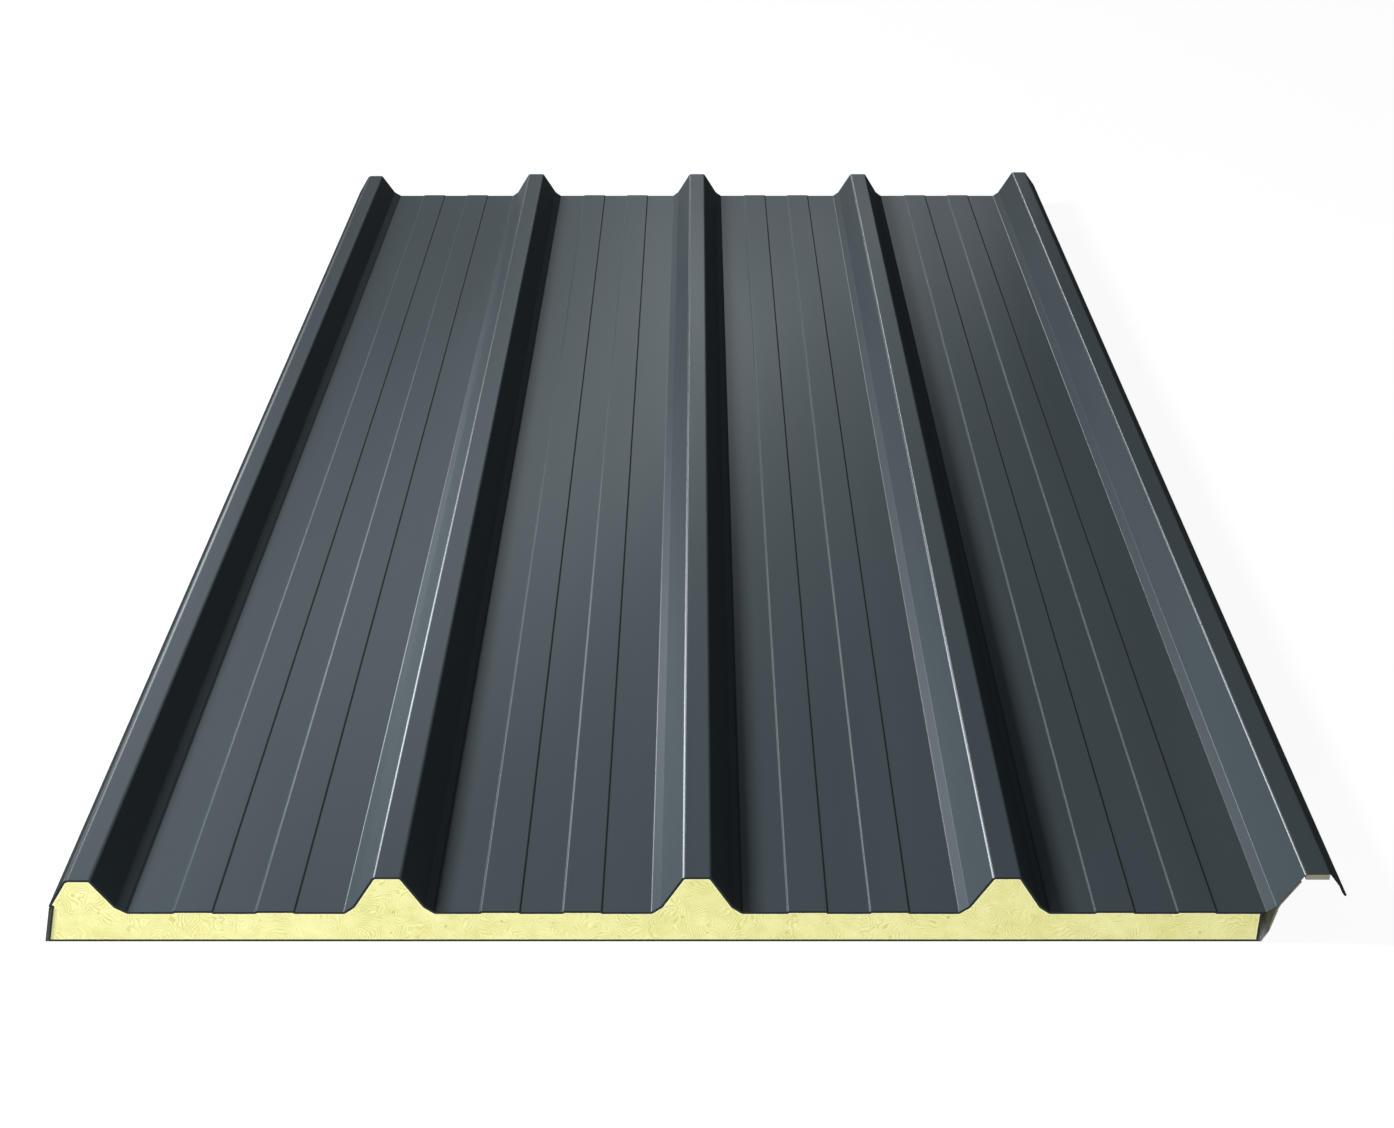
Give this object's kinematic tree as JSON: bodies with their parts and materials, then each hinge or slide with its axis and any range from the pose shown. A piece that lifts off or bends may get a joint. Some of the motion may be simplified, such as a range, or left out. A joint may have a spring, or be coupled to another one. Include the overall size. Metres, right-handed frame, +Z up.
{
  "type": "insulated sandwich panel",
  "caption": "Insulated roof panel: ribbed dark grey steel facing and flat inner sheet bonded to pale yellow foam, with an overlap rib and a taped side joint.",
  "frame": {"origin": "on the underside of the inner sheet, below the middle rib and halfway along the panel", "axes": "+X across the cover width towards the overlap rib, +Y along the ribs, +Z up through the ribbed outer sheet"},
  "size_m": [1.0595, 1.8, 0.068],
  "materials": {
    "outer_sheet": "satin",
    "foam_core": "matte",
    "inner_sheet": "satin",
    "left_tape": "matte",
    "right_tape": "matte",
    "lap_seal": "matte"
  },
  "bodies": {
    "root": {"outer_sheet": "outer_sheet", "foam_core": "foam_core", "inner_sheet": "inner_sheet", "left_tape": "left_tape", "right_tape": "right_tape", "lap_seal": "lap_seal"}
  },
  "joints": []
}
